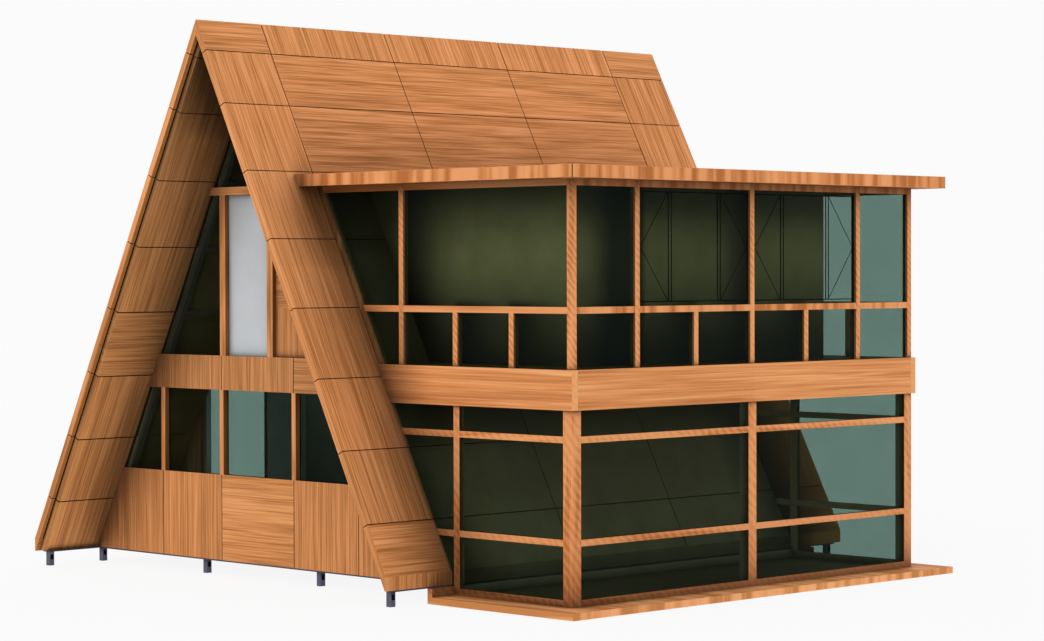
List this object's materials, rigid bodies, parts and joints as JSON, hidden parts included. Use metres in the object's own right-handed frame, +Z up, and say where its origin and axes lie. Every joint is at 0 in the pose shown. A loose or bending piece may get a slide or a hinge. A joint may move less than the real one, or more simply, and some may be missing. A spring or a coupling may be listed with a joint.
{
  "type": "a-frame cabin",
  "caption": "Steep A-frame cabin clad in timber panels on short steel feet, with a glazed flat-roofed extension along one side; a hollow shell of rooms, floors, gables and glazing.",
  "frame": {"origin": "middle of the plan box of the whole building at ground level", "axes": "+X across the ridge towards the glazed extension, +Y along the ridge towards the rear gable, +Z up"},
  "size_m": [10.711, 9.6, 8.077],
  "materials": {
    "roof_wood": "matt oiled boards",
    "gable_wood": "matt oiled boards",
    "soffit_wood": "matt oiled boards",
    "floor_wood": "matt boards",
    "trim_wood": "satin planed timber",
    "glass": "green tinted panes",
    "door_paint": "white paint",
    "room_board": "smooth khaki board",
    "foot_steel": "dark blue-grey paint",
    "base_dark": "dark sheet"
  },
  "bodies": {
    "root": {"base_sheet": "base_dark", "feet": "foot_steel", "ground_floor": "floor_wood", "eave_plinths": "roof_wood", "roof_left_field": "roof_wood", "roof_left_verge": "roof_wood", "roof_left_ridge": "roof_wood", "roof_left_ends": "roof_wood", "roof_right_field": "roof_wood", "roof_right_verge": "roof_wood", "roof_right_ridge": "roof_wood", "roof_right_ends": "roof_wood", "lining_left": "soffit_wood", "lining_right": "soffit_wood", "gable_ribs": "soffit_wood", "purlins": "soffit_wood", "upper_floor": "floor_wood", "gable_side_panels": "gable_wood", "gable_centre_panels": "gable_wood", "gable_studs": "soffit_wood", "gable_posts": "gable_wood", "gable_spandrels": "gable_wood", "gable_headers": "gable_wood", "gable_upper_panels": "gable_wood", "gable_door": "door_paint", "gable_glass": "glass", "side_light_cheeks": "gable_wood", "side_light_frame": "gable_wood", "side_light_glass": "glass", "deck": "trim_wood", "deck_upstand": "trim_wood", "curb": "trim_wood", "lower_posts": "trim_wood", "lower_rails": "trim_wood", "lower_glass": "glass", "band": "trim_wood", "gallery_floor": "floor_wood", "upper_posts": "trim_wood", "upper_rails": "trim_wood", "upper_mullions": "trim_wood", "upper_rakes": "trim_wood", "upper_glass": "glass", "extension_roof": "trim_wood", "room_wall": "room_board", "room_ends": "room_board"}
  },
  "joints": []
}
